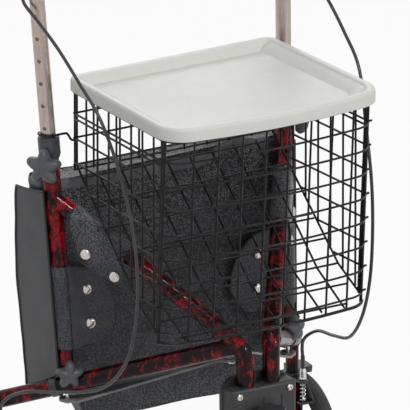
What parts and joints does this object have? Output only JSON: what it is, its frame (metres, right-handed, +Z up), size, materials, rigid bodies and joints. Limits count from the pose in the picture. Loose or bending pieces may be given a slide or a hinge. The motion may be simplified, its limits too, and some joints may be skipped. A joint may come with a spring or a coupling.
{
  "type": "three-wheel rollator",
  "caption": "Folding walker on three wheels, with loop-brake handles, a wire basket, a lift-off tray and a vinyl pouch between its uprights.",
  "frame": {"origin": "on the floor under the centre of the bounding box", "axes": "+Z up, the front wheel towards -Y, the user's left towards +X"},
  "size_m": [0.6226, 0.5335, 0.9259],
  "materials": {
    "black_part": "satin",
    "grey_part": "satin",
    "handle_metal": "satin",
    "red_frame": "gloss",
    "steel": "bright",
    "tray": "satin",
    "tyre": "matte",
    "vinyl": "satin",
    "wire": "gloss"
  },
  "bodies": {
    "chassis": {"head_housing": "black_part", "basket_front": "wire", "basket_back": "wire", "basket_floor": "wire", "basket_right_side": "wire", "basket_left_side": "wire", "right_basket_hook": "wire", "left_basket_hook": "wire", "pouch": "vinyl"},
    "fork": {"fork": "black_part", "front_axle": "steel"},
    "front_wheel": {"front_tyre": "tyre", "front_rim": "grey_part"},
    "tray": {"tray": "tray"},
    "right_frame": {"right_front_tube": "red_frame", "right_upright": "red_frame", "right_lower_tube": "red_frame", "right_leg": "red_frame", "right_wheel_bracket": "black_part", "right_collar": "grey_part", "right_rear_axle": "steel", "right_adjuster": "steel", "right_brake_spring": "steel", "right_brake_cable": "black_part", "right_upper_flap": "vinyl", "right_lower_flap": "vinyl"},
    "right_wheel": {"right_rear_tyre": "tyre", "right_rear_rim": "grey_part"},
    "right_handle": {"right_handle_tube": "handle_metal", "right_grip": "black_part", "right_brake_housing": "black_part"},
    "right_lever": {"right_brake_lever": "black_part"},
    "right_brake": {"right_brake_arm": "black_part"},
    "right_height_knob": {"right_height_knob": "grey_part"},
    "right_frame_knob": {"right_frame_knob": "grey_part"},
    "right_link": {"right_spreader_link": "grey_part"},
    "left_frame": {"left_front_tube": "red_frame", "left_upright": "red_frame", "left_lower_tube": "red_frame", "left_leg": "red_frame", "left_wheel_bracket": "black_part", "left_collar": "grey_part", "left_rear_axle": "steel", "left_adjuster": "steel", "left_brake_spring": "steel", "left_brake_cable": "black_part", "left_upper_flap": "vinyl", "left_lower_flap": "vinyl"},
    "left_wheel": {"left_rear_tyre": "tyre", "left_rear_rim": "grey_part"},
    "left_handle": {"left_handle_tube": "handle_metal", "left_grip": "black_part", "left_brake_housing": "black_part"},
    "left_lever": {"left_brake_lever": "black_part"},
    "left_brake": {"left_brake_arm": "black_part"},
    "left_height_knob": {"left_height_knob": "grey_part"},
    "left_frame_knob": {"left_frame_knob": "grey_part"},
    "left_link": {"left_spreader_link": "grey_part"}
  },
  "joints": [
    {"name": "steering", "type": "hinge", "parent": "chassis", "child": "fork", "pos_m": [0, -0.2085, 0.3], "axis": [0, 0, 1], "continuous": true},
    {"name": "front_wheel_spin", "type": "hinge", "parent": "fork", "child": "front_wheel", "pos_m": [0, -0.1725, 0.095], "axis": [1, 0, 0], "continuous": true},
    {"name": "tray_lift", "type": "slide", "parent": "chassis", "child": "tray", "axis": [0, 0, 1], "range_m": [0, 0.06]},
    {"name": "right_fold", "type": "hinge", "parent": "chassis", "child": "right_frame", "pos_m": [-0.0217, -0.1725, 0.3], "axis": [0, 0, -1], "range_deg": [0, 26], "deforming": ["right_brake_cable", "pouch"]},
    {"name": "right_wheel_spin", "type": "hinge", "parent": "right_frame", "child": "right_wheel", "pos_m": [-0.287, 0.17281, 0.095], "axis": [1, 0, 0], "continuous": true},
    {"name": "right_handle_height", "type": "slide", "parent": "right_frame", "child": "right_handle", "axis": [-0.0408, 0.0817, 0.9958], "range_m": [-0.132, 0.033], "deforming": ["right_brake_cable"]},
    {"name": "right_lever_squeeze", "type": "hinge", "parent": "right_handle", "child": "right_lever", "pos_m": [-0.21903, 0.14599, 0.86777], "axis": [0.9781, 0.2079, 0], "range_deg": [0, 9]},
    {"name": "right_brake_press", "type": "hinge", "parent": "right_frame", "child": "right_brake", "pos_m": [-0.26453, 0.13981, 0.199], "axis": [-1, 0, 0], "range_deg": [0, 2.52], "deforming": ["right_brake_spring"]},
    {"name": "right_height_knob_turn", "type": "hinge", "parent": "right_frame", "child": "right_height_knob", "pos_m": [-0.19648, 0.07065, 0.6275], "axis": [-0.8015, -0.598, 0], "range_deg": [-180, 180]},
    {"name": "right_frame_knob_turn", "type": "hinge", "parent": "right_frame", "child": "right_frame_knob", "pos_m": [-0.18371, 0.04511, 0.316], "axis": [-0.3746, -0.9272, 0], "range_deg": [-180, 180]},
    {"name": "right_link_turn", "type": "hinge", "parent": "right_frame", "child": "right_link", "pos_m": [-0.18597, 0.04364, 0.2755], "axis": [0, 0, -1], "range_deg": [0, 7.8]},
    {"name": "left_fold", "type": "hinge", "parent": "chassis", "child": "left_frame", "pos_m": [0.0217, -0.1725, 0.3], "axis": [0, 0, 1], "range_deg": [0, 26], "deforming": ["left_brake_cable", "pouch"]},
    {"name": "left_wheel_spin", "type": "hinge", "parent": "left_frame", "child": "left_wheel", "pos_m": [0.287, 0.17281, 0.095], "axis": [1, 0, 0], "continuous": true},
    {"name": "left_handle_height", "type": "slide", "parent": "left_frame", "child": "left_handle", "axis": [0.0408, 0.0817, 0.9958], "range_m": [-0.132, 0.033], "deforming": ["left_brake_cable"]},
    {"name": "left_lever_squeeze", "type": "hinge", "parent": "left_handle", "child": "left_lever", "pos_m": [0.21903, 0.14599, 0.86777], "axis": [0.9781, -0.2079, 0], "range_deg": [0, 9]},
    {"name": "left_brake_press", "type": "hinge", "parent": "left_frame", "child": "left_brake", "pos_m": [0.26453, 0.13981, 0.199], "axis": [-1, 0, 0], "range_deg": [0, 2.52], "deforming": ["left_brake_spring"]},
    {"name": "left_height_knob_turn", "type": "hinge", "parent": "left_frame", "child": "left_height_knob", "pos_m": [0.19648, 0.07065, 0.6275], "axis": [0.8015, -0.598, 0], "range_deg": [-180, 180]},
    {"name": "left_frame_knob_turn", "type": "hinge", "parent": "left_frame", "child": "left_frame_knob", "pos_m": [0.18371, 0.04511, 0.316], "axis": [0.3746, -0.9272, 0], "range_deg": [-180, 180]},
    {"name": "left_link_turn", "type": "hinge", "parent": "left_frame", "child": "left_link", "pos_m": [0.18597, 0.04364, 0.2755], "axis": [0, 0, 1], "range_deg": [0, 7.8]}
  ],
  "couplings": [
    {"joint": "right_brake_press", "follows": "right_lever_squeeze", "ratio": 0.28},
    {"joint": "right_link_turn", "follows": "right_fold", "ratio": 0.3},
    {"joint": "left_brake_press", "follows": "left_lever_squeeze", "ratio": 0.28},
    {"joint": "left_link_turn", "follows": "right_fold", "ratio": 0.3},
    {"joint": "left_fold", "follows": "right_fold", "ratio": 1}
  ]
}
